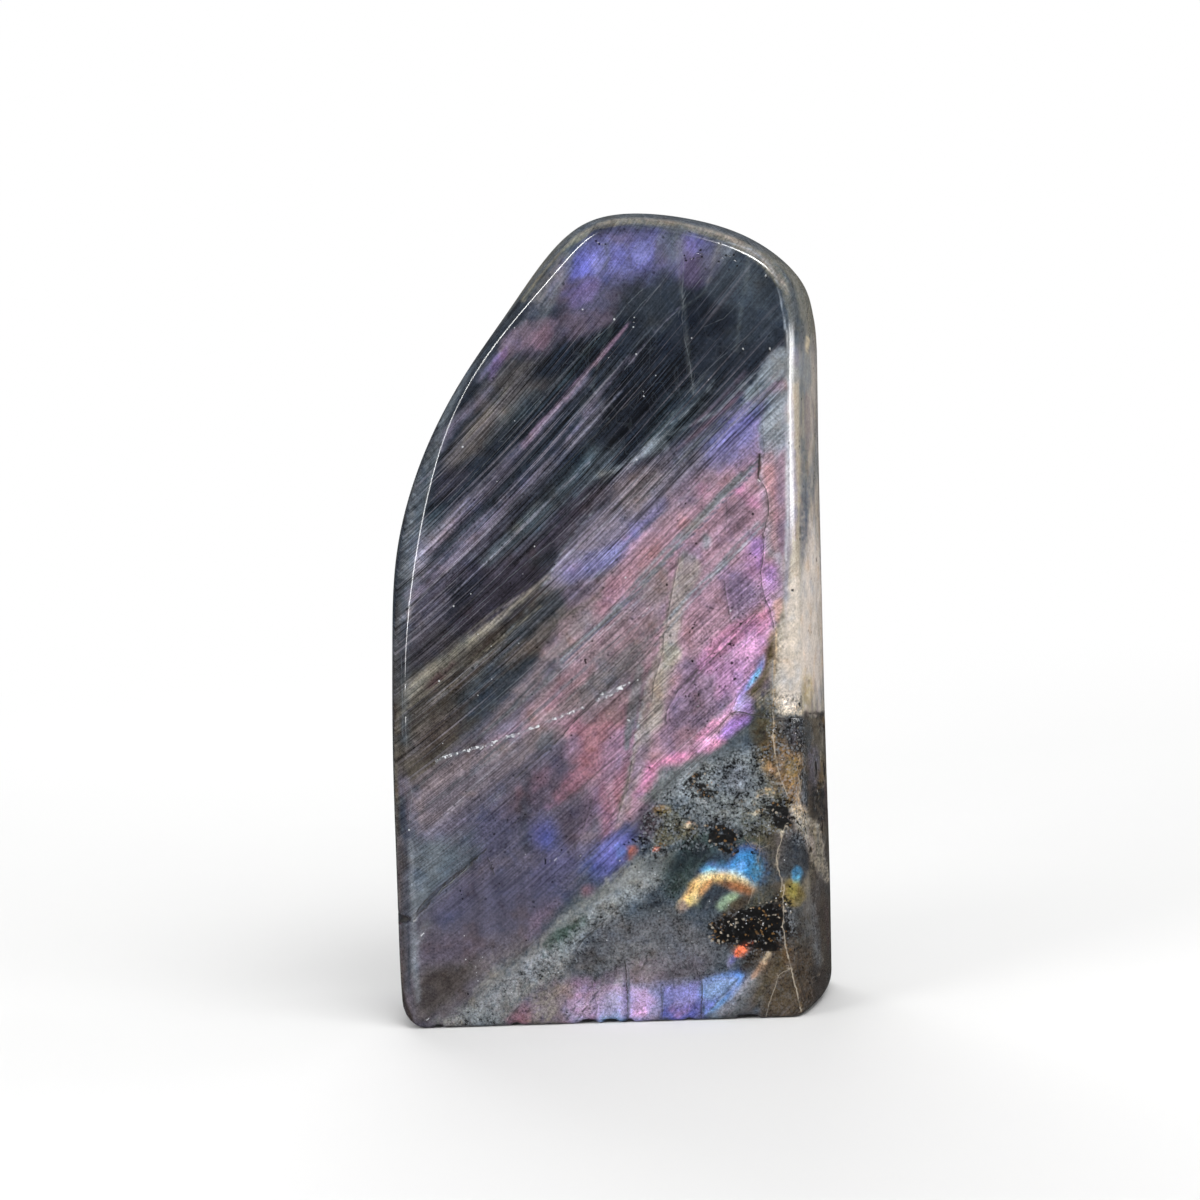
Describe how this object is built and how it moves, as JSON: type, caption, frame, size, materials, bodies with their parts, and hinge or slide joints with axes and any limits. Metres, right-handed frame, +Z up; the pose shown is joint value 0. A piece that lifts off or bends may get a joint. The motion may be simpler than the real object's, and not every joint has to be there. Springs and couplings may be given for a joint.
{
  "type": "labradorite freeform",
  "caption": "Polished labradorite freeform display stone with a flat foot, a nearly flat bevelled face, flaring sides and a domed back.",
  "frame": {"origin": "middle of the stone's box in X and Y, on the plane of its flat foot", "axes": "+Z up from the foot to the top of the stone, the bevelled show face looks along -Y, +X to the right when looking at that face"},
  "size_m": [0.0848, 0.0364, 0.1502],
  "materials": {
    "labradorite": "high polish all over, satin ground foot"
  },
  "bodies": {
    "root": {"labradorite_freeform": "labradorite"}
  },
  "joints": []
}
